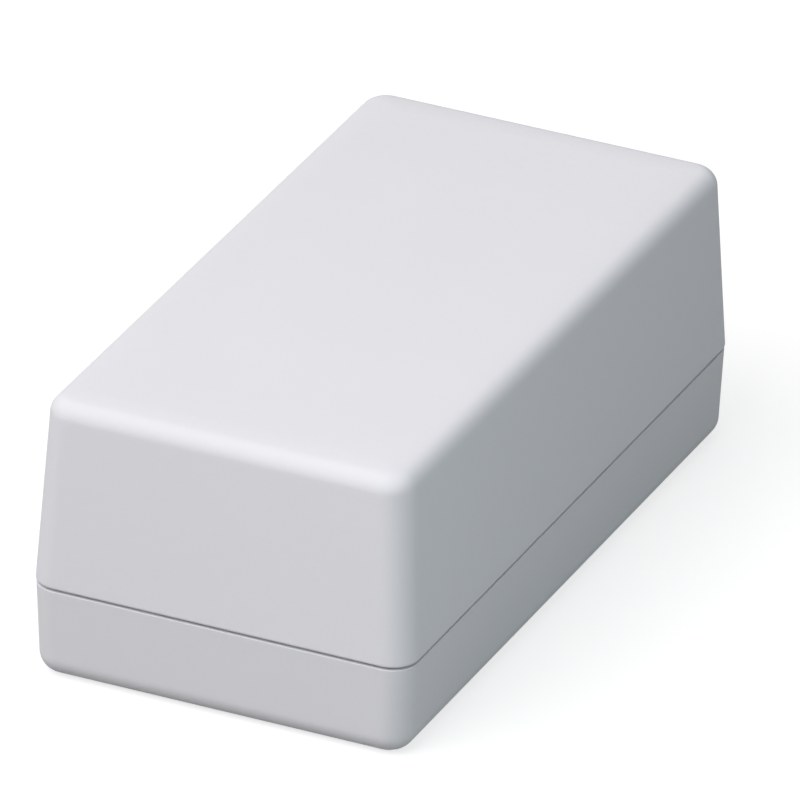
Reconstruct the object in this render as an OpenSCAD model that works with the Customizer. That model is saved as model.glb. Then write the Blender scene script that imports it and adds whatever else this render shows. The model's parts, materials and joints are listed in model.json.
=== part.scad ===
// Two-shell moulded project box: a deep cover screwed down on a shallow base.
// Millimetres. The origin is the middle of the underside, +Y runs along the box, +Z is up.

/* [Box] */
// Width across the seam, where the box is widest
box_w = 65; // [55:1:90]
// Length across the seam
box_l = 125; // [115:1:170]
// Height of the base, from the underside to the seam
base_h = 15.8; // [14:0.1:20]
// Height of the cover, from the seam to the top
cover_h = 32.2; // [26:0.1:45]
// Thickness of walls, floor and ceiling
wall = 2.5; // [2.2:0.1:3]

/* [Outer form] */
// Draft of the cover's walls, in degrees
cover_draft = 3; // [1:0.1:4]
// Draft of the base's walls, in degrees
base_draft = 2; // [1:0.1:4]
// Radius of the four upright corners
corner_r = 4.5; // [4:0.1:8]
// Radius of the edge round the top
top_edge_r = 3; // [1.5:0.1:3.5]
// Radius of the edge round the underside
bottom_edge_r = 3.5; // [1.5:0.1:3.8]

/* [Seam] */
// Open width of the shadow line between the shells
seam_gap = 0.4; // [0.2:0.1:0.8]
// Height of the base's lip above the seam
lip_h = 1.8; // [1:0.1:2.4]
// Thickness of the lip
lip_t = 1.2; // [0.9:0.1:1.3]
// Clearance between the lip and the cover's rebate
lip_clearance = 0.3; // [0.2:0.05:0.4]

/* [Screws] */
// Distance from the inside walls to the screw axes, at the seam
screw_inset = 7.5; // [6.5:0.1:9]
// Outside diameter of the screw thread
screw_d = 2.9; // [2.6:0.1:3.2]
// Length of the screws under the head
screw_l = 13; // [11:0.5:16]
// Diameter of the pan heads
head_d = 5.6; // [5:0.1:6]
// Height of the pan heads
head_h = 2.2; // [1.6:0.1:2.6]
// Depth of the counterbores in the underside
counterbore_depth = 7; // [5:0.5:8]

/* [Circuit boards] */
// Distance between the base standoffs, across the box
base_board_x = 36; // [28:1:38]
// Distance between the base standoffs, along the box
base_board_y = 80; // [60:1:84]
// Height of the base standoffs above the floor
base_standoff_h = 4; // [3:0.5:6]
// Distance between the cover standoffs, across the box
cover_board_x = 32; // [24:1:38]
// Distance between the cover standoffs, along the box
cover_board_y = 74; // [60:1:84]
// Length of the cover standoffs below the ceiling
cover_standoff_h = 5; // [3:0.5:8]
// Diameter of the pilot holes in the standoffs
pilot_d = 2.2; // [1.8:0.1:2.6]
// Slots for upright boards along each long wall
side_slots = 5; // [1:1:5]
// Distance between neighbouring slots
slot_pitch = 16; // [12:1:18]
// Width of a slot
slot_w = 1.8; // [1.2:0.1:2.2]

/* [Hidden] */
$fn = 48;
skin_fn = 32;            // facets of the round corners and edges of the two skins
overlap = 0.6;           // how far a boss, rib or web sinks into the wall that carries it
through = 1;             // how far a cut runs past the face it opens in

seam_z = base_h;
base_land_z = seam_z - seam_gap / 2;
cover_land_z = seam_z + seam_gap / 2;
ceiling_z = seam_z + cover_h - wall;
inner_corner_r = corner_r - wall;
inner_edge_r = 1;        // radius where the walls meet the ceiling or the floor

lip_out_w = box_w - 2 * wall + 2 * lip_t;
lip_out_l = box_l - 2 * wall + 2 * lip_t;
lip_r = inner_corner_r + lip_t;
lip_head_room = 0.5;     // the rebate is this much deeper than the lip is high

screw_x = box_w / 2 - wall - screw_inset;
screw_y = box_l / 2 - wall - screw_inset;
seat_t = 2;              // plate between a screw head and the pillar above it
joint_z = counterbore_depth + seat_t;
shank_gap = 0.05;        // running clearance round the threads, all the way up the pillars
pillar_r = 3.5;
pillar_bore_d = screw_d + 2 * shank_gap;
pillar_bore_l = screw_l - seat_t + 3;
pillar_core_d = 2.2;     // narrower core that keeps the upper pillar hollow
pillar_cap_t = 3;        // material above the core, under the ceiling
sleeve_r = 4.9;
counterbore_d = head_d + 0.8;
screw_hole_d = screw_d + 0.5;

standoff_r = 2.6;
boss_flare = 0.35;       // a boss is this much wider at its root than at its free end
boss_fillet_r = 0.6;     // hollow fillet round a boss's root
pilot_floor = 1.4;       // material left under a pilot hole

web_t = 1.4;
rib_t = 1.2;
rib_depth = 1.7;         // how far a rib stands off the wall
rib_lead = 0.8;          // slope at a rib's free end that leads a board into its slot
end_slot_x = 8;          // place of the slots on the end walls
rib_low_z = seam_z + lip_h + 2;
base_rib_high_z = base_land_z - 2;

// How far in a drafted wall has come at height z, and the inside half width and half length there
function draft_in(z) = z > seam_z ? (z - seam_z) * tan(cover_draft) : (seam_z - z) * tan(base_draft);
function inside_w(z) = box_w / 2 - draft_in(z) - wall;
function inside_l(z) = box_l / 2 - draft_in(z) - wall;

// Repeats its children at the four corners of a rectangle, x and y being half its sides
module at_corners(x, y) {
    for (sx = [-1, 1], sy = [-1, 1]) translate([sx * x, sy * y, 0]) children();
}

// Mirrors its children into all four quarters of the box
module in_quarters() {
    for (mx = [0, 1], my = [0, 1]) mirror([mx, 0, 0]) mirror([0, my, 0]) children();
}

// Flat rectangle with true arcs at its corners
module round_rect(w, l, r) {
    square([w - 2 * r, l], center = true);
    square([w, l - 2 * r], center = true);
    at_corners(w / 2 - r, l / 2 - r) circle(r);
}

// Disc with a round upper edge: the closed end of one corner of a skin
module edge_disc(r, edge_r) {
    rotate_extrude($fn = skin_fn) {
        square([r - edge_r, edge_r]);
        translate([r - edge_r, 0]) intersection() {
            circle(edge_r, $fn = skin_fn);
            square(edge_r);
        }
    }
}

// Drafted solid with upright corners of one radius, w by l at z = 0, narrower and edge-rounded at z = h
module skin(w, l, h, draft, r, edge_r) {
    in = (h - edge_r) * tan(draft);
    foot_t = 0.02;
    hull() {
        at_corners(w / 2 - r, l / 2 - r) cylinder(h = foot_t, r = r, $fn = skin_fn);
        at_corners(w / 2 - r - in, l / 2 - r - in) translate([0, 0, h - edge_r]) edge_disc(r, edge_r);
    }
}

// Walls and closed end of a shell, standing open end down at z = 0
module shell(h, draft, edge_r) {
    difference() {
        skin(box_w, box_l, h, draft, corner_r, edge_r);
        translate([0, 0, -through]) cavity(h + through - wall, draft);
    }
}

// The hollow of a shell, parallel to its walls, starting below the open end
module cavity(h, draft) {
    extra = 2 * through * tan(draft);
    skin(box_w - 2 * wall + extra, box_l - 2 * wall + extra, h, draft, inner_corner_r, inner_edge_r);
}

// Upright rib against a drafted wall, t thick, from its sloped free end to its root: it stands free_reach
// and root_reach off the wall there, where the wall is free_wall and root_wall from the middle
module wall_rib(free_z, root_z, free_wall, root_wall, free_reach, root_reach, t) {
    lead_z = free_z + sign(root_z - free_z) * rib_lead;
    rotate([90, 0, 0]) linear_extrude(t, center = true)
        polygon([
            [free_wall - free_reach, lead_z],
            [free_wall - free_reach + rib_lead, free_z],
            [free_wall + overlap, free_z],
            [root_wall + overlap, root_z],
            [root_wall - root_reach, root_z]
        ]);
}

// Pairs of ribs on the long walls that hold upright boards
module side_board_slots(free_z, root_z) {
    for (i = [0 : side_slots - 1], pair = [-1, 1], side = [0, 1]) {
        y = (i - (side_slots - 1) / 2) * slot_pitch + pair * (slot_w + rib_t) / 2;
        mirror([side, 0, 0]) translate([0, y, 0])
            wall_rib(free_z, root_z, inside_w(free_z), inside_w(root_z), rib_depth, rib_depth, rib_t);
    }
}

// Pairs of ribs on the end walls that hold boards lengthwise
module end_board_slots(free_z, root_z) {
    for (pair = [-1, 1]) in_quarters()
        translate([end_slot_x + pair * (slot_w + rib_t) / 2, 0, 0]) rotate([0, 0, 90])
            wall_rib(free_z, root_z, inside_l(free_z), inside_l(root_z), rib_depth, rib_depth, rib_t);
}

// Webs that tie each screw pillar or sleeve to the two walls beside it
module corner_webs(free_z, root_z) {
    in_quarters() {
        translate([0, screw_y, 0])
            wall_rib(free_z, root_z, inside_w(free_z), inside_w(root_z),
                inside_w(free_z) - screw_x, inside_w(root_z) - screw_x, web_t);
        translate([screw_x, 0, 0]) rotate([0, 0, 90])
            wall_rib(free_z, root_z, inside_l(free_z), inside_l(root_z),
                inside_l(free_z) - screw_y, inside_l(root_z) - screw_y, web_t);
    }
}

// Round boss from its free end at z = 0 to its wider, filleted root on the face at z = h
module boss(r, h) {
    root_r = r + boss_flare;
    cylinder(h = h + overlap, r1 = r, r2 = root_r);
    rotate_extrude() difference() {
        translate([r, h - boss_fillet_r]) square([boss_flare + boss_fillet_r, boss_fillet_r + overlap]);
        translate([root_r + boss_fillet_r, h - boss_fillet_r]) circle(boss_fillet_r);
    }
}

// Screw pillars and board standoffs that hang from the cover's ceiling
module cover_bosses() {
    at_corners(screw_x, screw_y) translate([0, 0, joint_z]) boss(pillar_r, ceiling_z - joint_z);
    at_corners(cover_board_x / 2, cover_board_y / 2)
        translate([0, 0, ceiling_z - cover_standoff_h]) boss(standoff_r, cover_standoff_h);
}

// Stepped holes up the pillars and pilot holes up the standoffs
module cover_bores() {
    at_corners(screw_x, screw_y) {
        translate([0, 0, joint_z - through]) cylinder(h = pillar_bore_l + through, d = pillar_bore_d);
        translate([0, 0, joint_z]) cylinder(h = ceiling_z - pillar_cap_t - joint_z, d = pillar_core_d);
    }
    at_corners(cover_board_x / 2, cover_board_y / 2)
        translate([0, 0, ceiling_z - cover_standoff_h - through])
            cylinder(h = cover_standoff_h + through + wall - pilot_floor, d = pilot_d);
}

// Walls and top of the cover, with the rebate round the rim that takes the base's lip
module cover_shell() {
    difference() {
        translate([0, 0, cover_land_z]) shell(cover_h - seam_gap / 2, cover_draft, top_edge_r);
        translate([0, 0, cover_land_z - through])
            linear_extrude(lip_h - seam_gap / 2 + lip_head_room + through)
                round_rect(lip_out_w + 2 * lip_clearance, lip_out_l + 2 * lip_clearance, lip_r + lip_clearance);
    }
}

// Deep upper shell, moulded with its pillars, standoffs, webs and board slots
module cover() {
    color("gainsboro") difference() {
        union() {
            cover_shell();
            cover_bosses();
            corner_webs(rib_low_z, ceiling_z + overlap);
            side_board_slots(rib_low_z, ceiling_z + overlap);
            end_board_slots(rib_low_z, ceiling_z + overlap);
        }
        cover_bores();
    }
}

// Lip that stands up from the base's rim and slides into the cover's rebate
module lip() {
    translate([0, 0, base_land_z - overlap]) linear_extrude(lip_h + seam_gap / 2 + overlap) difference() {
        round_rect(lip_out_w, lip_out_l, lip_r);
        round_rect(lip_out_w - 2 * lip_t, lip_out_l - 2 * lip_t, inner_corner_r);
    }
}

// Screw sleeves and board standoffs that stand on the base's floor
module base_bosses() {
    at_corners(screw_x, screw_y) translate([0, 0, joint_z]) mirror([0, 0, 1])
        boss(sleeve_r, joint_z - wall);
    at_corners(base_board_x / 2, base_board_y / 2)
        translate([0, 0, wall + base_standoff_h]) mirror([0, 0, 1]) boss(standoff_r, base_standoff_h);
}

// Counterbores and screw holes from below, and pilot holes from above
module base_bores() {
    at_corners(screw_x, screw_y) {
        translate([0, 0, -through]) cylinder(h = counterbore_depth + through, d = counterbore_d);
        cylinder(h = joint_z + through, d = screw_hole_d);
    }
    at_corners(base_board_x / 2, base_board_y / 2)
        translate([0, 0, pilot_floor]) cylinder(h = wall - pilot_floor + base_standoff_h + through, d = pilot_d);
}

// Shallow lower shell, moulded with its lip, sleeves, standoffs, webs and board slots
module base() {
    color("lightgray") difference() {
        union() {
            translate([0, 0, base_land_z]) mirror([0, 0, 1])
                shell(base_h - seam_gap / 2, base_draft, bottom_edge_r);
            lip();
            base_bosses();
            corner_webs(joint_z - 1, wall - overlap);
            side_board_slots(base_rib_high_z, wall - overlap);
            end_board_slots(base_rib_high_z, wall - overlap);
        }
        base_bores();
    }
}

// Pan-head self-tapping screw, head down, with its seat under the head at z = 0
module pan_screw() {
    tip_l = 2;
    socket_t = 0.9;
    difference() {
        union() {
            cylinder(h = screw_l - tip_l, d = screw_d);
            translate([0, 0, screw_l - tip_l]) cylinder(h = tip_l, d1 = screw_d, d2 = screw_d / 3);
            pan_head();
        }
        translate([0, 0, -head_h - through]) linear_extrude(through + head_h * 0.6) for (turn = [0, 90])
            rotate([0, 0, turn]) square([head_d * 0.5, socket_t], center = true);
    }
}

// Head with a flat crown and a round shoulder
module pan_head() {
    shoulder_r = head_h * 0.6;
    rotate_extrude() mirror([0, 1]) {
        square([head_d / 2, head_h - shoulder_r]);
        square([head_d / 2 - shoulder_r, head_h]);
        translate([head_d / 2 - shoulder_r, head_h - shoulder_r]) intersection() {
            circle(shoulder_r);
            square(shoulder_r);
        }
    }
}

// The four screws that hold the cover down, driven up from the underside
module cover_screws() {
    color("silver") at_corners(screw_x, screw_y) translate([0, 0, counterbore_depth]) pan_screw();
}

cover();
base();
cover_screws();
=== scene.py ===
"""A moulded two-shell project box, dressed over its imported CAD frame.

The cover and the base are each one closed moulding: a wall section is carried round a rounded rectangle, and
the bosses, webs and board slots are joined to it. The screws get their threads, heads and driving recesses.
"""

import json
import math

import bpy
import numpy as np
from mathutils import Matrix, Vector


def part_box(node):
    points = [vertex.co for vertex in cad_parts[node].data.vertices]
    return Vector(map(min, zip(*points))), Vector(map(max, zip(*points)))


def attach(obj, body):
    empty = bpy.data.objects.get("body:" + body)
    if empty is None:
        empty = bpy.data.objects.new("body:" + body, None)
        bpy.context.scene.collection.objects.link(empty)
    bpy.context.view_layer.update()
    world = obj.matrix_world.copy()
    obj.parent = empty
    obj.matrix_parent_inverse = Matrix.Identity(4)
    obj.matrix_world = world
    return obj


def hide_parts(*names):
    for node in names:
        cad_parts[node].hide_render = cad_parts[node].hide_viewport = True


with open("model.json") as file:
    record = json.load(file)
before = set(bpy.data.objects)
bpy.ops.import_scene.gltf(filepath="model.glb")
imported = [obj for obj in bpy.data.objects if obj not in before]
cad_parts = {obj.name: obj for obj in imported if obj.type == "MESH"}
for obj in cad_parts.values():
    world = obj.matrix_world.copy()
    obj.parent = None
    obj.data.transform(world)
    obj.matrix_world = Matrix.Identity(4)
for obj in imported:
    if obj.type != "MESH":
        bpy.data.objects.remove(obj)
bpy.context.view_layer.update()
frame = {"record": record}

bl_info = {
    "name": "Moulded project box",
    "version": (1, 0, 0),
    "blender": (4, 5, 0),
    "location": "View3D > Sidebar > Project box",
    "description": "Builds a drafted two-shell plastic project box with its screws and a plain studio",
    "category": "Add Mesh",
}

MM = 0.001
COVER_LOW, COVER_HIGH = (Vector(corner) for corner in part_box("cover"))
BASE_LOW, BASE_HIGH = (Vector(corner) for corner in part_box("base"))

ARC_STEPS = 20           # steps round each quarter of an upright corner
EDGE_STEPS = 10          # steps round a large edge seen in section
CROWN_STEPS = 8          # steps along the slight fall of the top
FILLET_STEPS = 6         # steps round a boss's root and the lip's edges
SMALL_STEPS = 4          # steps round the smallest edges and fillets
SIDE_ROWS = 6            # rows of points along a straight side
STRIP = 0.5 * MM         # width of the strips that keep flat faces flat beside their round edges
INNER_STRIP = 0.3 * MM   # the same beside the inner edge of a wall
LEAST_RADIUS = 0.5 * MM  # the upright corners' radius never falls below this
SINK = 0.02 * MM         # how far a foot runs into the face that it stands on, past its fillet
PAST = 0.5 * MM          # how far a hole's cutter reaches out of its mouth
SLOT_GAP = 2 * MM        # how far the cover's ribs stop above the lip, and the base's slots below its rim
WEB_GAP = 1 * MM         # how far the base's webs stop below the tops of the sleeves


# ---------------------------------------------------------------- sizes and colours

def length(name, description, default_mm):
    """A length property that shows as millimetres in the sidebar."""
    return bpy.props.FloatProperty(
        name=name, description=description, default=default_mm * MM, min=0.0, precision=5,
        subtype="DISTANCE", unit="LENGTH",
    )


def angle(name, description, default_deg):
    """An angle property, given in degrees and kept in radians."""
    return bpy.props.FloatProperty(
        name=name, description=description, default=math.radians(default_deg),
        subtype="ANGLE", unit="ROTATION",
    )


def colour(name, description, default):
    """A linear colour property without alpha."""
    return bpy.props.FloatVectorProperty(
        name=name, description=description, default=default, size=3, min=0.0, max=1.0, subtype="COLOR",
    )


class BoxSizes(bpy.types.PropertyGroup):
    """The lengths and angles that shape both mouldings."""

    wall: length("Wall", "Thickness of walls, floor and ceiling", 2.5)
    seam_gap: length("Seam gap", "Open width of the shadow line between the shells", 0.4)
    cover_draft: angle("Cover draft", "Lean of the cover's walls", 3.0)
    base_draft: angle("Base draft", "Lean of the base's walls", 2.0)
    corner_radius: length("Corner radius", "Radius of the four upright corners", 4.5)
    top_edge_radius: length("Top edge radius", "Radius of the edge round the top", 3.0)
    crown_radius: length("Crown radius", "Radius of the slight fall of the top beside its round edge", 40.0)
    crown_lean: angle("Crown lean", "Lean of that fall where it meets the round edge", 6.0)
    bottom_edge_radius: length("Bottom edge radius", "Radius of the edge round the underside", 3.5)
    inner_edge_radius: length("Inner edge radius", "Radius where walls meet the ceiling or floor", 1.0)
    cover_rim: length("Cover rim", "Radius that breaks the outer edge of the cover's rim", 0.45)
    base_rim: length("Base rim", "Radius that breaks the outer edge of the base's rim", 0.1)
    base_step: length("Base step", "How far the base's outside stands in from the cover's", 0.14)
    lip_height: length("Lip height", "Height of the base's lip above the seam", 1.8)
    lip_thickness: length("Lip thickness", "Thickness of the base's lip", 1.2)
    lip_clearance: length("Lip clearance", "Gap between the lip and the cover's rebate", 0.3)
    lip_head_room: length("Lip head room", "Gap between the top of the lip and the rebate", 0.5)


class BoxFittings(bpy.types.PropertyGroup):
    """The bosses, holes, webs and slots inside the mouldings, and the screws."""

    screw_inset: length("Screw inset", "Distance from the inside walls to the screw axes", 7.5)
    counterbore_depth: length("Counterbore depth", "Depth of the screw counterbores in the underside", 7.0)
    counterbore_diameter: length("Counterbore", "Diameter of the counterbores", 6.4)
    screw_hole_diameter: length("Screw hole", "Diameter of the holes that the screws pass through", 3.4)
    pillar_radius: length("Pillar radius", "Radius of the cover's screw pillars at their free ends", 3.5)
    pillar_bore_diameter: length("Pillar bore", "Diameter of the bores in the pillars", 3.0)
    pillar_bore_length: length("Pillar bore length", "Depth of the threaded stretch of a bore", 14.0)
    pillar_core_diameter: length("Pillar core", "Diameter of the narrower core above the bore", 2.2)
    pillar_cap: length("Pillar cap", "Material between a pillar's core and the ceiling", 3.0)
    sleeve_radius: length("Sleeve radius", "Radius of the base's screw sleeves at their free ends", 4.9)
    standoff_radius: length("Standoff radius", "Radius of the board standoffs at their free ends", 2.6)
    boss_flare: length("Boss taper", "How much wider a boss is at its root", 0.35)
    boss_fillet: length("Boss fillet", "Radius of the hollow fillet round a boss's root", 0.6)
    pilot_diameter: length("Pilot hole", "Diameter of the pilot holes in the standoffs", 2.2)
    pilot_floor: length("Pilot floor", "Material left under a pilot hole", 1.4)
    base_board_x: length("Base board width", "Distance between the base's standoffs, across", 36.0)
    base_board_y: length("Base board length", "Distance between the base's standoffs, along", 80.0)
    base_standoff_height: length("Base standoff height", "Height of the base's standoffs", 4.0)
    cover_board_x: length("Cover board width", "Distance between the cover's standoffs, across", 32.0)
    cover_board_y: length("Cover board length", "Distance between the cover's standoffs, along", 74.0)
    cover_standoff_length: length("Cover standoff length", "Length of the cover's standoffs", 5.0)
    side_slots: bpy.props.IntProperty(
        name="Side slots", description="Slots for upright boards along each long wall",
        default=5, min=1, max=5,
    )
    slot_pitch: length("Slot pitch", "Distance between neighbouring slots", 16.0)
    slot_width: length("Slot width", "Width of a board slot", 1.8)
    end_slot_x: length("End slot place", "Distance of the end walls' slots from the middle", 8.0)
    rib_thickness: length("Rib thickness", "Thickness of a slot's ribs", 1.2)
    rib_depth: length("Rib depth", "How far a rib stands off its wall", 1.7)
    rib_lead: length("Rib lead-in", "Slope at a rib's free end that leads a board into its slot", 0.8)
    web_thickness: length("Web thickness", "Thickness of the webs beside the screw pillars", 1.4)
    screw_diameter: length("Screw diameter", "Diameter over the screw thread", 2.9)
    screw_length: length("Screw length", "Length of a screw under its head", 13.0)
    screw_pitch: length("Screw pitch", "Rise of the screw thread in one turn", 1.1)
    head_diameter: length("Head diameter", "Diameter of the pan heads", 5.6)
    head_height: length("Head height", "Height of the pan heads", 2.2)


class BoxColours(bpy.types.PropertyGroup):
    """The base colours of the finishes."""

    cover: colour("Cover", "Pale grey of the cover's plastic", (0.76, 0.757, 0.79))
    base: colour("Base", "Pale grey of the base's plastic", (0.745, 0.742, 0.77))
    screws: colour("Screws", "Bright zinc of the screws", (0.62, 0.62, 0.60))
    floor: colour("Floor", "Grey of the floor, as the box is lit by it", (0.3, 0.3, 0.3))


class BoxStudio(bpy.types.PropertyGroup):
    """Where the camera stands."""

    azimuth: angle("Azimuth", "Turn of the camera from the -Y side towards +X", 24.217)
    elevation: angle("Elevation", "Height of the camera above the horizon", 27.644)
    roll: angle("Roll", "Turn of the camera about its own axis", 1.167)
    distance: length("Distance", "Distance of the camera from the point it looks at", 2677.65)
    lens: bpy.props.FloatProperty(name="Lens", description="Focal length in millimetres", default=764.8)
    aim: bpy.props.FloatVectorProperty(
        name="Aim", description="The point that the camera looks at", default=(-0.00126, 0.00804, 0.02254),
        subtype="TRANSLATION", unit="LENGTH",
    )


# ---------------------------------------------------------------- surfaces

def new_object(name, points, faces):
    """A mesh object at the origin from an array of points and a list of faces."""
    mesh = bpy.data.meshes.new(name)
    mesh.from_pydata(np.asarray(points).reshape(-1, 3), [], faces)
    mesh.validate()
    obj = bpy.data.objects.new(name, mesh)
    bpy.context.scene.collection.objects.link(obj)
    return obj


def grid_faces(rows, columns, start=0):
    """Quads of a tube of rows by columns points whose columns close round, then its two end caps.

    Faces look outwards where the rows go down and the columns run anticlockwise as seen from above."""
    index = start + np.arange(rows * columns).reshape(rows, columns)
    after = np.roll(index, -1, axis=1)
    quads = np.stack([index[:-1], index[1:], after[1:], after[:-1]], axis=-1).reshape(-1, 4)
    return quads.tolist() + [index[0].tolist(), index[-1][::-1].tolist()]


def tubes(name, points, inside_out=False):
    """One object of closed tubes. points has the axes tube, row, column and xyz."""
    count, rows, columns = points.shape[:3]
    faces = []
    for i in range(count):
        faces += grid_faces(rows, columns, i * rows * columns)
    if inside_out:
        faces = [face[::-1] for face in faces]
    return new_object(name, points, faces)


def arc(start_deg, stop_deg, steps=EDGE_STEPS):
    """Cosines and sines of evenly spaced angles, both ends included."""
    t = np.radians(np.linspace(start_deg, stop_deg, steps + 1))
    return np.cos(t), np.sin(t)


def section_rows(*parts):
    """Stacks the parts of a section. A part's columns are arrays, or numbers that are the same all along."""
    columns = (np.broadcast_arrays(*np.atleast_1d(*part)) for part in parts)
    return np.concatenate([np.stack(column, axis=-1) for column in columns])


def round_rectangle_rings(half_w, half_l, radius, z):
    """Rings of points round rectangles with round corners, as an array of ring, point and xyz.

    Each point is its corner's centre, which is the half sizes less the radius with that corner's signs, plus
    the radius along the outward direction. One more point a little way along the side before and after each
    corner keeps the flat sides flat."""
    quarter = np.concatenate([[0.0], np.linspace(0.0, 1.0, ARC_STEPS + 1), [1.0]])
    along = np.concatenate([[-STRIP], np.zeros(ARC_STEPS + 1), [STRIP]])
    turn = ((np.arange(4)[:, None] + quarter) * math.pi / 2).ravel()
    along = np.tile(along, 4)
    sign_x = np.repeat([1.0, -1.0, -1.0, 1.0], len(quarter))
    sign_y = np.repeat([1.0, 1.0, -1.0, -1.0], len(quarter))
    cos, sin = np.cos(turn), np.sin(turn)
    half_w, half_l, radius, z = (np.asarray(v)[:, None] for v in (half_w, half_l, radius, z))
    x = sign_x * (half_w - radius) + radius * cos - along * sin
    y = sign_y * (half_l - radius) + radius * sin + along * cos
    return np.stack([x, y, np.broadcast_to(z, x.shape)], axis=-1)


def moulded_shell(name, section, land_z, up, sizes):
    """Carries a wall section round the box as one closed skin.

    A section row is (offset, lean, height). The ring's half sizes are those of the box less the lean and the
    offset, its corner radius is the corner's less the offset but at least LEAST_RADIUS, and the height counts
    from the rim's land to the closed end."""
    offset, lean, height = section.T
    half_w = (BASE_HIGH.x - BASE_LOW.x) / 2 - lean - offset
    half_l = (BASE_HIGH.y - BASE_LOW.y) / 2 - lean - offset
    radius = np.maximum(sizes.corner_radius - offset, LEAST_RADIUS)
    rings = round_rectangle_rings(half_w, half_l, radius, land_z + up * height)
    return tubes(name, rings[None], inside_out=up < 0)


def outer_section(depth, draft, edge, rim, crown=0.0, crown_lean=0.0):
    """Section of a shell's outside, from its closed face to the flat land of its rim.

    The wall leans in by the height times the draft's tangent. Both round edges are arcs tangent to the wall:
    the edge's centre lies edge / cos(draft) in from the wall line, and the rim's rim * (1 + sin) / cos in
    from the rim. A crown is a wide arc between the flat and the round edge, tangent to both: it leans by
    crown_lean where it meets the edge, and its centre lies (crown - edge) * sin(crown_lean) further in than
    the edge's. Without a crown that stretch has no points."""
    tan, sin, cos = math.tan(draft), math.sin(draft), math.cos(draft)
    meeting = 90 - math.degrees(crown_lean)
    edge_z = depth - crown * (1 - math.cos(crown_lean)) - edge * math.cos(crown_lean)
    crown_in = edge / cos + max(crown - edge, 0.0) * math.sin(crown_lean)
    crown_cos, crown_sin = (part[:-1] for part in arc(90, meeting, CROWN_STEPS if crown else 0))
    edge_cos, edge_sin = arc(meeting, math.degrees(draft))
    rim_cos, rim_sin = arc(math.degrees(draft), -90)
    rim_in = rim * (1 + sin) / cos
    wall_z = np.linspace(edge_z - STRIP, rim + STRIP, SIDE_ROWS)
    return section_rows(
        (crown_in + STRIP, edge_z * tan, depth),
        (crown_in - crown * crown_cos, edge_z * tan, depth - crown + crown * crown_sin),
        (edge / cos - edge * edge_cos, edge_z * tan, edge_z + edge * edge_sin),
        (0.0, wall_z * tan, wall_z),
        (rim_in - rim * rim_cos, 0.0, rim + rim * rim_sin),
    )


def inner_section(depth, draft, edge, wall, start):
    """Section of a shell's inside, from a starting height up the wall to its ceiling or floor.

    The wall leans in as the outside does, and the inner edge is an arc tangent to it and to the flat."""
    tan, cos = math.tan(draft), math.cos(draft)
    edge_z = depth - edge
    edge_cos, edge_sin = arc(math.degrees(draft), 90)
    wall_z = np.linspace(start, edge_z - INNER_STRIP, SIDE_ROWS)
    return section_rows(
        (wall, wall_z * tan, wall_z),
        (wall + edge / cos - edge * edge_cos, edge_z * tan, edge_z + edge * edge_sin),
        (wall + edge / cos + STRIP, edge_z * tan, depth),
    )


def turned(name, radius, height, centres, foot_z, up, steps=48):
    """Round pieces: a profile of radii and heights turned about the upright lines through the centres."""
    around = np.arange(steps) * 2 * math.pi / steps
    ring = np.stack([np.cos(around), np.sin(around)], axis=-1)
    flat = radius[:, None, None] * ring + np.asarray(centres)[:, None, None, :]
    z = np.broadcast_to((foot_z + up * height)[:, None], flat.shape[:-1])
    return tubes(name, np.concatenate([flat, z[..., None]], axis=-1), inside_out=up > 0)


def boss_profile(radius, flare, depth, fillet, edge=0.2 * MM):
    """Radii and heights of a boss from its free end to its root.

    The free edge is a quarter round, the side widens evenly by the flare, and the root spreads in a hollow
    fillet that ends just inside the face that it stands on."""
    edge_cos, edge_sin = arc(90, 0, SMALL_STEPS)
    root_cos, root_sin = arc(180, 90, FILLET_STEPS)
    side = np.linspace(edge, depth - fillet, SIDE_ROWS)
    side_r = radius + flare * side / depth
    section = section_rows(
        (radius - edge + edge * edge_cos, edge - edge * edge_sin),
        (side_r[1:], side[1:]),
        (side_r[-1] + fillet + fillet * root_cos[1:], depth - fillet + fillet * root_sin[1:]),
        (side_r[-1] + fillet, depth + SINK),
    )
    return section.T


def rib_outline(reach, thickness, fillet=0.4 * MM, tip=0.25 * MM):
    """Plan outline of a rib: how far each point stands off the wall, and how far it lies across the rib.

    Two hollow fillets spread the foot, and the tip's two edges are rounded. It starts inside the wall."""
    half = thickness / 2
    foot_cos, foot_sin = arc(270, 180, SMALL_STEPS)
    tip_cos, tip_sin = arc(90, 0, SMALL_STEPS)
    one_side = section_rows(
        (-SINK, half + fillet),
        (fillet + fillet * foot_sin, half + fillet + fillet * foot_cos),
        (reach - tip + tip * tip_cos, half - tip + tip * tip_sin),
    )
    return np.concatenate([one_side, one_side[::-1] * (1, -1)])


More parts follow.
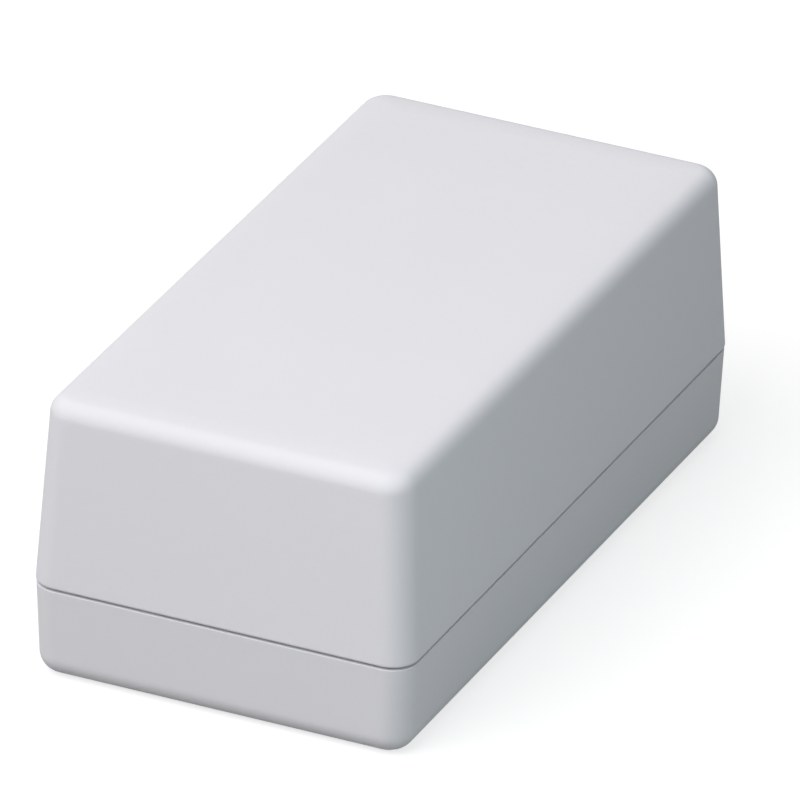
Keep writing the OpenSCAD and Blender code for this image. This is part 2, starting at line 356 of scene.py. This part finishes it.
def ribs(name, reach, thickness, lead, free_z, root_z, wall_at, places, edge=0.2 * MM):
    """Upright ribs along drafted walls, as one object of closed solids.

    At each height the plan outline stands on the wall, wall_at(z) from the middle. Its free end is a quarter
    round: there the outline draws in by edge * (1 - cos) at edge * (1 - sin) from the end. Within the lead of
    the end, the outline also stands off the wall by no more than its reach less what is left of the lead. A
    place is the number of quarter turns from the +X wall, and the shift along that wall."""
    up = 1 if root_z > free_z else -1
    depth = abs(root_z - free_z)
    cos, sin = arc(90, 0, SMALL_STEPS)
    deeper = np.linspace(max(lead, 2 * edge), depth + SINK, SIDE_ROWS)
    section = section_rows((edge - edge * sin, edge - edge * cos), (deeper, 0.0))
    down, drawn_in = section.T[:, :, None]
    z = free_z + up * down
    stand, across = rib_outline(reach, thickness).T
    out = wall_at(z) - np.minimum(stand, reach - np.maximum(drawn_in, lead - down))
    across = np.sign(across) * np.maximum(abs(across) - drawn_in, 0.0)
    points = []
    for quarters, shift in places:
        turn = quarters * math.pi / 2
        cos, sin = round(math.cos(turn)), round(math.sin(turn))
        along = across + shift
        x, y = cos * out - sin * along, sin * out + cos * along
        points.append(np.stack([x, y, np.broadcast_to(z, out.shape)], axis=-1))
    return tubes(name, np.stack(points), inside_out=up > 0)


def combine(target, tool, operation):
    """Adds the tool's solid to the target's, or cuts it away, and deletes the tool."""
    change = target.modifiers.new(operation.lower(), "BOOLEAN")
    change.operation = operation
    change.solver = "MANIFOLD"
    change.object = tool
    depsgraph = bpy.context.evaluated_depsgraph_get()
    mesh = bpy.data.meshes.new_from_object(target.evaluated_get(depsgraph))
    if len(mesh.polygons) <= len(target.data.polygons) and operation == "UNION":
        raise RuntimeError(f"{tool.name} did not join {target.name}")
    target.modifiers.clear()
    target.data = mesh
    bpy.data.objects.remove(tool)


def smooth(obj, sharp_deg=34, lead=80):
    """Rounds off the shading, keeps edges over the angle sharp and lets the large faces lead the normals."""
    obj.data.shade_smooth()
    obj.data.set_sharp_from_angle(angle=math.radians(sharp_deg))
    weighted = obj.modifiers.new("Even normals", "WEIGHTED_NORMAL")
    weighted.keep_sharp = True
    weighted.weight = lead


# ---------------------------------------------------------------- finishes

class Value:
    """A socket that takes part in Python expressions: each operator adds a Math node."""

    def __init__(self, finish, socket):
        self.finish, self.socket = finish, socket

    def math(self, operation, *operands):
        """A Math node of the operation on the operands, which are values or numbers."""
        inputs = {i: operand for i, operand in enumerate(operands)}
        return self.finish.node("ShaderNodeMath", {"operation": operation}, inputs)

    def __add__(self, other):
        return self.math("ADD", self, other)

    def __sub__(self, other):
        return self.math("SUBTRACT", self, other)

    def __rsub__(self, other):
        return self.math("SUBTRACT", other, self)

    def __mul__(self, other):
        return self.math("MULTIPLY", self, other)

    __radd__ = __add__
    __rmul__ = __mul__

    def limited(self, low=0.0, high=1.0):
        """The value kept between low and high."""
        return self.math("MINIMUM", self.math("MAXIMUM", self, low), high)


class Finish:
    """A node material under construction."""

    def __init__(self, name):
        self.material = bpy.data.materials.new(name)
        self.material.use_nodes = True
        self.tree = self.material.node_tree
        self.tree.nodes.clear()
        self.place = self.node("ShaderNodeTexCoord", output="Object")

    def node(self, kind, settings=None, inputs=None, output=0):
        """Adds a node: its settings come first, then its sockets get values, numbers or links."""
        made = self.tree.nodes.new(kind)
        for name, setting in (settings or {}).items():
            setattr(made, name, setting)
        for name, given in (inputs or {}).items():
            if isinstance(given, Value):
                self.tree.links.new(given.socket, made.inputs[name])
            else:
                made.inputs[name].default_value = given
        return Value(self, made.outputs[output])

    def noise(self, size, detail=2.0, roughness=0.5):
        """Noise whose features are about size metres across, from 0 to 1."""
        inputs = {"Vector": self.place, "Scale": 1 / size, "Detail": detail, "Roughness": roughness}
        return self.node("ShaderNodeTexNoise", {}, inputs)

    def shade(self, colour, amount):
        """The colour made lighter or darker by a value that is 1 where it is left alone."""
        grey = self.node("ShaderNodeCombineColor", {}, {"Red": amount, "Green": amount, "Blue": amount})
        settings = {"data_type": "RGBA", "blend_type": "MULTIPLY", "clamp_result": False}
        return self.node("ShaderNodeMix", settings, {0: 1.0, 6: (*colour, 1.0), 7: grey}, output=2)

    def bump(self, height, distance, strength=1.0, normal=None):
        """A normal bent by a height, with its distance in metres."""
        inputs = {"Height": height, "Distance": distance, "Strength": strength}
        if normal:
            inputs["Normal"] = normal
        return self.node("ShaderNodeBump", {}, inputs)

    def surface(self, inputs):
        """Ends the material in a Principled BSDF with these sockets."""
        shader = self.node("ShaderNodeBsdfPrincipled", {}, inputs)
        self.node_output(shader)
        return self.material

    def node_output(self, shader):
        """Ends the material in a shader."""
        out = self.tree.nodes.new("ShaderNodeOutputMaterial")
        self.tree.links.new(shader.socket, out.inputs["Surface"])


def satin_plastic(name, colour):
    """Moulded ABS with a fine spark-eroded skin over a faint waviness.

    Two sizes of noise make the grain, and a third, millimetres across and a few hundredths of one high at
    most, the waviness. Slow noise and small flecks shade the colour by about one part in a hundred, and slow
    noise and the grain move the roughness a little."""
    finish = Finish(name)
    grain = finish.noise(0.22 * MM, detail=3.0, roughness=0.6)
    fine = finish.noise(0.07 * MM, detail=1.0)
    cloud = finish.noise(24 * MM, detail=3.0)
    fleck = finish.noise(0.5 * MM, detail=2.0)
    waves = finish.bump(finish.noise(1.8 * MM, detail=3.0), 0.04 * MM)
    tone = 1.0 + (cloud - 0.5) * 0.03 + (fleck - 0.5) * 0.02
    return finish.surface({
        "Base Color": finish.shade(colour, tone),
        "Roughness": 0.82 + (cloud - 0.5) * 0.10 + (grain - 0.5) * 0.12,
        "Normal": finish.bump(grain * 0.7 + fine * 0.3, 0.012 * MM, 0.6, waves),
        "IOR": 1.53,
    })


def bright_zinc(name, colour):
    """Zinc plating: metal whose tone and roughness move with slow noise, and its skin with fine noise."""
    finish = Finish(name)
    cloud = finish.noise(1.5 * MM, detail=3.0)
    fine = finish.noise(0.12 * MM, detail=3.0)
    return finish.surface({
        "Base Color": finish.shade(colour, 0.94 + cloud * 0.12),
        "Metallic": 1.0,
        "Roughness": 0.24 + cloud * 0.14 + fine * 0.08,
        "Normal": finish.bump(fine, 0.01 * MM, 0.4),
    })


def studio_floor(name, colour):
    """Pale matt floor, and nothing at all as seen from below.

    Rays from the camera, from a mirror or through glass see a white that is partly lit and partly glowing, so
    that the floor reads white and keeps a faint shadow. All other rays see the plain colour."""
    lit, glowing = 0.4, 0.7
    finish = Finish(name)
    rays = finish.node("ShaderNodeLightPath", output="Is Camera Ray")
    glossy = Value(finish, rays.socket.node.outputs["Is Glossy Ray"])
    clear = Value(finish, rays.socket.node.outputs["Is Transmission Ray"])
    seen = (rays + glossy + clear).limited()
    mottle = finish.noise(60 * MM, detail=2.0)
    plain = finish.node("ShaderNodeBsdfDiffuse", {}, {"Color": finish.shade(colour, 0.99 + mottle * 0.02)})
    white = finish.node("ShaderNodeBsdfDiffuse", {}, {"Color": (lit, lit, lit, 1.0)})
    glow = finish.node("ShaderNodeEmission", {}, {"Color": (1.0, 1.0, 1.0, 1.0), "Strength": glowing})
    shown = finish.node("ShaderNodeAddShader", {}, {0: white, 1: glow})
    from_above = finish.node("ShaderNodeMixShader", {}, {0: seen, 1: plain, 2: shown})
    behind = finish.node("ShaderNodeNewGeometry", output="Backfacing")
    nothing = finish.node("ShaderNodeBsdfTransparent")
    finish.node_output(finish.node("ShaderNodeMixShader", {}, {0: behind, 1: from_above, 2: nothing}))
    return finish.material


# ---------------------------------------------------------------- the mouldings

def corners(x, y):
    """The four corners of a rectangle, x and y being its sides."""
    return [(sx * x / 2, sy * y / 2) for sx in (-1, 1) for sy in (-1, 1)]


def screw_places(sizes, fittings):
    """The screw axes, inset from the inside walls at the seam."""
    inset = sizes.wall + fittings.screw_inset
    return corners(BASE_HIGH.x - BASE_LOW.x - 2 * inset, BASE_HIGH.y - BASE_LOW.y - 2 * inset)


def seam_z(sizes):
    """Height of the seam's middle: the lip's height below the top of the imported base."""
    return BASE_HIGH.z - sizes.lip_height


def slot_places(fittings, walls, middles):
    """Places of the two ribs of each slot, on walls given in quarter turns, at middles along those walls."""
    half = (fittings.slot_width + fittings.rib_thickness) / 2
    return [(quarters, middle + pair * half) for quarters in walls for middle in middles for pair in (-1, 1)]


def side_places(fittings):
    """Places of the slot ribs on the two long walls."""
    middle = (fittings.side_slots - 1) / 2
    middles = [(i - middle) * fittings.slot_pitch for i in range(fittings.side_slots)]
    return slot_places(fittings, (0, 2), middles)


def end_places(fittings):
    """Places of the slot ribs on the two end walls."""
    return slot_places(fittings, (1, 3), (-fittings.end_slot_x, fittings.end_slot_x))


def fit_out(shell, name, slot_z, web_z, root_z, land_z, draft, sizes, fittings):
    """Joins the webs, which start at web_z, and the board slots, which start at slot_z, to the four walls."""
    def inside(full):
        # How far the inside of a wall stands from the middle of the box at height z.
        return lambda z: full / 2 - sizes.wall - abs(z - land_z) * math.tan(draft)

    wide, long = inside(BASE_HIGH.x - BASE_LOW.x), inside(BASE_HIGH.y - BASE_LOW.y)
    x, y = screw_places(sizes, fittings)[-1]
    side_webs = [(quarters, side * y) for quarters in (0, 2) for side in (-1, 1)]
    end_webs = [(quarters, side * x) for quarters in (1, 3) for side in (-1, 1)]
    for label, wall_at, reach, places in (("side_webs", wide, wide(land_z) - x, side_webs),
                                          ("end_webs", long, long(land_z) - y, end_webs)):
        made = ribs(f"{name}_{label}", reach, fittings.web_thickness, 0.0, web_z, root_z, wall_at, places)
        combine(shell, made, "UNION")
    for label, wall_at, places in (("side_slots", wide, side_places(fittings)),
                                   ("end_slots", long, end_places(fittings))):
        made = ribs(f"{name}_{label}", fittings.rib_depth, fittings.rib_thickness, fittings.rib_lead, slot_z,
                    root_z, wall_at, places)
        combine(shell, made, "UNION")


def bosses(name, radius, free_z, root_z, places, fittings):
    """Round bosses at the places, from a free end to the face that they stand on."""
    up = 1 if root_z > free_z else -1
    profile = boss_profile(radius, fittings.boss_flare, abs(root_z - free_z), fittings.boss_fillet)
    return turned(name, *profile, places, free_z, up)


def hole(name, stretches, mouth_z, up, places, mouth=0.2 * MM):
    """A cutter for stepped holes with an evenly bevelled mouth.

    Each stretch is its radius and the depth at which it ends."""
    radii, ends = np.array(stretches).T
    radius = np.append(radii[0] + mouth + PAST, np.repeat(radii, 2))
    depth = np.append([-PAST, mouth], np.repeat(ends, 2)[:-1])
    return turned(name, radius, depth, places, mouth_z, up, steps=64)


def build_cover(sizes, fittings):
    """The deep upper moulding, as one closed mesh."""
    land_z = seam_z(sizes) + sizes.seam_gap / 2
    ceiling_z = COVER_HIGH.z - sizes.wall
    rebate_in = sizes.wall - sizes.lip_thickness - sizes.lip_clearance
    rebate_top = BASE_HIGH.z + sizes.lip_head_room - land_z
    tan = math.tan(sizes.cover_draft)
    edge = 0.12 * MM
    low_cos, low_sin = arc(-90, 0, SMALL_STEPS)
    high_cos, high_sin = (part[::-1] for part in arc(90, 0, SMALL_STEPS))
    section = np.concatenate([
        outer_section(COVER_HIGH.z - land_z, sizes.cover_draft, sizes.top_edge_radius, sizes.cover_rim,
                      sizes.crown_radius, sizes.crown_lean),
        section_rows(
            (rebate_in - edge + edge * low_cos, 0.0, edge + edge * low_sin),
            (rebate_in, 0.0, rebate_top),
            (sizes.wall - edge + edge * high_sin, rebate_top * tan, rebate_top + edge - edge * high_cos),
        ),
        inner_section(ceiling_z - land_z, sizes.cover_draft, sizes.inner_edge_radius, sizes.wall,
                      rebate_top + 2 * edge),
    ])
    shell = moulded_shell("cover_moulding", section, land_z, 1, sizes)
    screws = screw_places(sizes, fittings)
    boards = corners(fittings.cover_board_x, fittings.cover_board_y)
    standoff_z = ceiling_z - fittings.cover_standoff_length
    seat_z = COVER_LOW.z
    pillars = bosses("pillars", fittings.pillar_radius, seat_z, ceiling_z, screws, fittings)
    combine(shell, pillars, "UNION")
    standoffs = bosses("standoffs", fittings.standoff_radius, standoff_z, ceiling_z, boards, fittings)
    combine(shell, standoffs, "UNION")
    rib_z = BASE_HIGH.z + SLOT_GAP
    fit_out(shell, "cover", rib_z, rib_z, ceiling_z, land_z, sizes.cover_draft, sizes, fittings)
    core_end = ceiling_z - fittings.pillar_cap - seat_z
    bore = [(fittings.pillar_bore_diameter / 2, fittings.pillar_bore_length),
            (fittings.pillar_core_diameter / 2, core_end)]
    combine(shell, hole("pillar_bores", bore, seat_z, 1, screws), "DIFFERENCE")
    pilot_end = fittings.cover_standoff_length + sizes.wall - fittings.pilot_floor
    pilot = [(fittings.pilot_diameter / 2, pilot_end)]
    combine(shell, hole("cover_pilots", pilot, standoff_z, 1, boards), "DIFFERENCE")
    return shell


def build_base(sizes, fittings):
    """The shallow lower moulding, as one closed mesh."""
    land_z = seam_z(sizes) - sizes.seam_gap / 2
    lip = BASE_HIGH.z - land_z
    lip_in = sizes.wall - sizes.lip_thickness
    outer_r, inner_r = 0.3 * MM, 0.2 * MM
    outer_cos, outer_sin = arc(180, 90, FILLET_STEPS)
    inner_cos, inner_sin = outer_cos[::-1], outer_sin[::-1]
    section = np.concatenate([
        outer_section(land_z - BASE_LOW.z, sizes.base_draft, sizes.bottom_edge_radius, sizes.base_rim)
        + (sizes.base_step, 0.0, 0.0),
        section_rows(
            (lip_in, 0.0, 0.0),
            (lip_in + outer_r + outer_r * outer_cos, 0.0, -(lip - outer_r + outer_r * outer_sin)),
            (sizes.wall - inner_r - inner_r * inner_cos, 0.0, -(lip - inner_r + inner_r * inner_sin)),
        ),
        inner_section(land_z - BASE_LOW.z - sizes.wall, sizes.base_draft, sizes.inner_edge_radius,
                      sizes.wall, 0.0),
    ])
    shell = moulded_shell("base_moulding", section, land_z, -1, sizes)
    screws = screw_places(sizes, fittings)
    boards = corners(fittings.base_board_x, fittings.base_board_y)
    floor_z = BASE_LOW.z + sizes.wall
    standoff_z = floor_z + fittings.base_standoff_height
    seat_z = COVER_LOW.z
    sleeves = bosses("sleeves", fittings.sleeve_radius, seat_z, floor_z, screws, fittings)
    combine(shell, sleeves, "UNION")
    standoffs = bosses("standoffs", fittings.standoff_radius, standoff_z, floor_z, boards, fittings)
    combine(shell, standoffs, "UNION")
    fit_out(shell, "base", land_z - SLOT_GAP, seat_z - WEB_GAP, floor_z, land_z, sizes.base_draft, sizes,
            fittings)
    past_seat = 1 * MM
    bore = [(fittings.counterbore_diameter / 2, fittings.counterbore_depth),
            (fittings.screw_hole_diameter / 2, seat_z + past_seat)]
    combine(shell, hole("counterbores", bore, BASE_LOW.z, 1, screws), "DIFFERENCE")
    pilot = [(fittings.pilot_diameter / 2, standoff_z - fittings.pilot_floor)]
    combine(shell, hole("base_pilots", pilot, standoff_z, -1, boards), "DIFFERENCE")
    return shell


# ---------------------------------------------------------------- the screws

def repeated(obj, name, places):
    """The object's mesh set down at each place in x and y, as one new object that takes the first's stead."""
    mesh = obj.data
    points = np.empty(len(mesh.vertices) * 3)
    mesh.vertices.foreach_get("co", points)
    points = points.reshape(-1, 3)
    loops = np.empty(len(mesh.loops), dtype=np.int32)
    mesh.loops.foreach_get("vertex_index", loops)
    starts = np.empty(len(mesh.polygons), dtype=np.int32)
    mesh.polygons.foreach_get("loop_start", starts)
    polygons = np.split(loops, starts[1:])
    faces = [(face + i * len(points)).tolist() for i in range(len(places)) for face in polygons]
    bpy.data.objects.remove(obj)
    return new_object(name, np.concatenate([points + (x, y, 0.0) for x, y in places]), faces)


def build_screws(sizes, fittings):
    """Four pan-head self-tapping screws, head down, as one mesh of four closed solids."""
    seat_z = fittings.counterbore_depth
    screw = turned("cover_screws_threaded", *head_profile(fittings), [(0.0, 0.0)], seat_z, -1, steps=64)
    combine(screw, threaded_shank(fittings, seat_z), "UNION")
    combine(screw, cross_recess(fittings, seat_z - fittings.head_height), "DIFFERENCE")
    return repeated(screw, "threaded_screws", screw_places(sizes, fittings))


def head_profile(fittings):
    """Radii and depths of a pan head below its seat: a flat seat, a short upright rim and a low crown.

    The crown's shoulder is a quarter round, 0.6 of the head's height in radius, and the rest is flat."""
    radius, height = fittings.head_diameter / 2, fittings.head_height
    shoulder = 0.6 * height
    seat_edge = 0.08 * MM
    cos, sin = arc(0, 90, 12)
    section = section_rows(
        (radius - seat_edge, 0.0),
        (radius, seat_edge),
        (radius - shoulder + shoulder * cos, height - shoulder + shoulder * sin),
        ((radius - shoulder) * 0.5, height),
    )
    return section.T


def threaded_shank(fittings, seat_z):
    """A tapping screw's shank: a tube whose radius rises to a crest along a helix.

    At height z and turn a, the thread phase is z / pitch - a / full turn; the radius is the core plus the
    thread depth times (1 - steepness times the distance of the phase from a half), never below the core. The
    thread grows in over a turn from a little under the head, and over the tip the core narrows to a quarter
    of its radius and the thread to nothing. The tube starts inside the head."""
    crest, pitch, reach = fittings.screw_diameter / 2, fittings.screw_pitch, fittings.screw_length
    core, tip = crest * 0.72, 2.0 * MM
    inside_head, under_head, steepness = 0.3 * MM, 0.4 * MM, 3.2
    per_turn, steps = 18, 36
    z = np.linspace(-inside_head, reach, int(reach / pitch * per_turn))[:, None]
    around = (np.arange(steps) * 2 * math.pi / steps)[None, :]
    phase = (z / pitch - around / (2 * math.pi)) % 1.0
    ridge = np.maximum(1.0 - steepness * abs(phase - 0.5), 0.0)
    grow = np.clip((z - under_head) / pitch, 0.0, 1.0)
    point = np.clip((reach - z) / tip, 0.0, 1.0)
    radius = core * (0.25 + 0.75 * point) + (crest - core) * ridge * grow * point ** 0.5
    height = np.broadcast_to(seat_z + z, radius.shape)
    points = np.stack([radius * np.cos(around), radius * np.sin(around), height], axis=-1)
    return tubes("shank", points[None], inside_out=True)


def cross_recess(fittings, crown_z):
    """The cutter for a cross recess: two crossed wedges that narrow with depth.

    A wedge's length and width, in millimetres, are each given at the recess's mouth and at its bottom."""
    mouth_z, bottom_z = crown_z - 0.2 * MM, crown_z + fittings.head_height * 0.62
    long, thin = (3.0, 1.3), (0.75, 0.55)
    wings = []
    for across, along in ((long, thin), (thin, long)):
        levels = []
        for x, y, z in zip(across, along, (mouth_z, bottom_z)):
            x, y = x / 2 * MM, y / 2 * MM
            levels.append([(x, y, z), (-x, y, z), (-x, -y, z), (x, -y, z)])
        wings.append(tubes("wing", np.array([levels]), inside_out=True))
    combine(*wings, "UNION")
    return wings[0]


# ---------------------------------------------------------------- operators, panel and running order

def finish_piece(piece, node, material):
    """Gives a piece its material and shading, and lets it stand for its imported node."""
    piece.data.materials.clear()
    piece.data.materials.append(material)
    smooth(piece)
    bodies = frame["record"]["behaviour"]["bodies"]
    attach(piece, next(body for body, nodes in bodies.items() if node in nodes))
    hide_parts(node)


class PROJECTBOX_OT_cover(bpy.types.Operator):
    """Make the deep upper shell with its pillars, standoffs, webs and board slots"""

    bl_idname = "projectbox.cover"
    bl_label = "Cover moulding"

    def execute(self, context):
        piece = build_cover(context.scene.box_sizes, context.scene.box_fittings)
        finish_piece(piece, "cover", satin_plastic("cover_abs", context.scene.box_colours.cover))
        return {"FINISHED"}


class PROJECTBOX_OT_base(bpy.types.Operator):
    """Make the shallow lower shell with its lip, sleeves, standoffs, webs and board slots"""

    bl_idname = "projectbox.base"
    bl_label = "Base moulding"

    def execute(self, context):
        piece = build_base(context.scene.box_sizes, context.scene.box_fittings)
        finish_piece(piece, "base", satin_plastic("base_abs", context.scene.box_colours.base))
        return {"FINISHED"}


class PROJECTBOX_OT_screws(bpy.types.Operator):
    """Make the four pan-head screws with their threads and cross recesses"""

    bl_idname = "projectbox.screws"
    bl_label = "Cover screws"

    def execute(self, context):
        piece = build_screws(context.scene.box_sizes, context.scene.box_fittings)
        finish_piece(piece, "cover_screws", bright_zinc("zinc", context.scene.box_colours.screws))
        return {"FINISHED"}


def direction(azimuth, elevation):
    """The way from the box to a place at these angles: azimuth 0 is towards -Y, and 90 degrees towards +X."""
    flat = math.cos(elevation)
    return Vector((math.sin(azimuth) * flat, -math.cos(azimuth) * flat, math.sin(elevation)))


def soft_lamp(name, azimuth, elevation, distance, size, power, tint):
    """A square area lamp that faces the box from these angles, in degrees."""
    away = direction(math.radians(azimuth), math.radians(elevation))
    lamp = bpy.data.lights.new(name, "AREA")
    lamp.shape, lamp.size, lamp.energy, lamp.color = "SQUARE", size, power, tint
    obj = bpy.data.objects.new(name, lamp)
    obj.matrix_world = Matrix.Translation(away * distance) @ away.to_track_quat("Z", "Y").to_matrix().to_4x4()
    bpy.context.scene.collection.objects.link(obj)


def even_sky(strength, tint):
    """A world that lights evenly, and that rays from the camera and through glass see as white."""
    world = bpy.data.worlds.new("studio_world")
    world.use_nodes = True
    tree = world.node_tree
    tree.nodes.clear()
    rays = tree.nodes.new("ShaderNodeLightPath")
    seen = tree.nodes.new("ShaderNodeMath")
    seen.operation = "MAXIMUM"
    tree.links.new(rays.outputs["Is Camera Ray"], seen.inputs[0])
    tree.links.new(rays.outputs["Is Transmission Ray"], seen.inputs[1])
    light, white = (tree.nodes.new("ShaderNodeBackground") for _ in range(2))
    light.inputs["Color"].default_value = (*tint, 1.0)
    light.inputs["Strength"].default_value = strength
    white.inputs["Color"].default_value = (1.0, 1.0, 1.0, 1.0)
    mix = tree.nodes.new("ShaderNodeMixShader")
    out = tree.nodes.new("ShaderNodeOutputWorld")
    tree.links.new(seen.outputs[0], mix.inputs[0])
    tree.links.new(light.outputs[0], mix.inputs[1])
    tree.links.new(white.outputs[0], mix.inputs[2])
    tree.links.new(mix.outputs[0], out.inputs["Surface"])
    bpy.context.scene.world = world


class PROJECTBOX_OT_studio(bpy.types.Operator):
    """Make the floor, the soft lamps, the world and the camera"""

    bl_idname = "projectbox.studio"
    bl_label = "Studio"

    def execute(self, context):
        drop = 0.02 * MM
        half_floor, half_opening = (6.0, 6.0), (29 * MM, 59 * MM)   # the opening is hidden under the box
        ring = [(x, y, -drop) for half_x, half_y in (half_floor, half_opening)
                for x, y in ((-half_x, -half_y), (half_x, -half_y), (half_x, half_y), (-half_x, half_y))]
        floor = new_object("studio_floor", ring, [(i, (i + 1) % 4, 4 + (i + 1) % 4, 4 + i) for i in range(4)])
        floor.data.materials.append(studio_floor("floor_matt", context.scene.box_colours.floor))
        soft_lamp("key", azimuth=-34, elevation=50, distance=1.6, size=1.6, power=27.1,
                  tint=(1.0, 0.966, 0.963))
        soft_lamp("fill", azimuth=60, elevation=25, distance=0.5, size=0.4, power=0.65,
                  tint=(0.89, 0.985, 1.0))
        soft_lamp("back", azimuth=200, elevation=45, distance=1.0, size=1.6, power=3.4,
                  tint=(1.0, 0.96, 0.97))
        soft_lamp("under", azimuth=0, elevation=-90, distance=0.6, size=1.2, power=4.0,
                  tint=(1.0, 1.0, 1.0))
        even_sky(0.18, (0.89, 1.0, 1.03))

        studio = context.scene.box_studio
        away = direction(studio.azimuth, studio.elevation)
        lens = bpy.data.cameras.new("studio_camera")
        lens.lens = studio.lens
        lens.clip_start, lens.clip_end = 0.1, 50.0
        camera = bpy.data.objects.new("studio_camera", lens)
        turn = away.to_track_quat("Z", "Y").to_matrix().to_4x4() @ Matrix.Rotation(studio.roll, 4, "Z")
        camera.matrix_world = Matrix.Translation(Vector(studio.aim) + away * studio.distance) @ turn
        context.scene.collection.objects.link(camera)
        context.scene.camera = camera
        context.scene.view_settings.view_transform = "Standard"
        return {"FINISHED"}


class PROJECTBOX_PT_sidebar(bpy.types.Panel):
    """Lists the sizes, the colours and the steps"""

    bl_idname = "PROJECTBOX_PT_sidebar"
    bl_label = "Project box"
    bl_space_type = "VIEW_3D"
    bl_region_type = "UI"
    bl_category = "Project box"

    def draw(self, context):
        for operator in OPERATORS:
            self.layout.operator(operator.bl_idname)
        for name in GROUPS:
            group = getattr(context.scene, name)
            box = self.layout.box()
            for key in group.bl_rna.properties.keys():
                if key not in ("rna_type", "name"):
                    box.prop(group, key)


OPERATORS = (PROJECTBOX_OT_studio, PROJECTBOX_OT_base, PROJECTBOX_OT_screws, PROJECTBOX_OT_cover)
GROUPS = {
    "box_sizes": BoxSizes,
    "box_fittings": BoxFittings,
    "box_colours": BoxColours,
    "box_studio": BoxStudio,
}


def register():
    """Registers the classes and hangs the property groups on the scene."""
    for cls in (*GROUPS.values(), *OPERATORS, PROJECTBOX_PT_sidebar):
        bpy.utils.register_class(cls)
    for name, group in GROUPS.items():
        setattr(bpy.types.Scene, name, bpy.props.PointerProperty(type=group))


def unregister():
    """Takes the property groups and the classes away again."""
    for name in GROUPS:
        delattr(bpy.types.Scene, name)
    for cls in (PROJECTBOX_PT_sidebar, *reversed(OPERATORS), *reversed(list(GROUPS.values()))):
        bpy.utils.unregister_class(cls)


def main():
    register()
    bpy.ops.projectbox.studio()
    bpy.ops.projectbox.base()
    bpy.ops.projectbox.screws()
    bpy.ops.projectbox.cover()


if __name__ == "__main__":
    main()
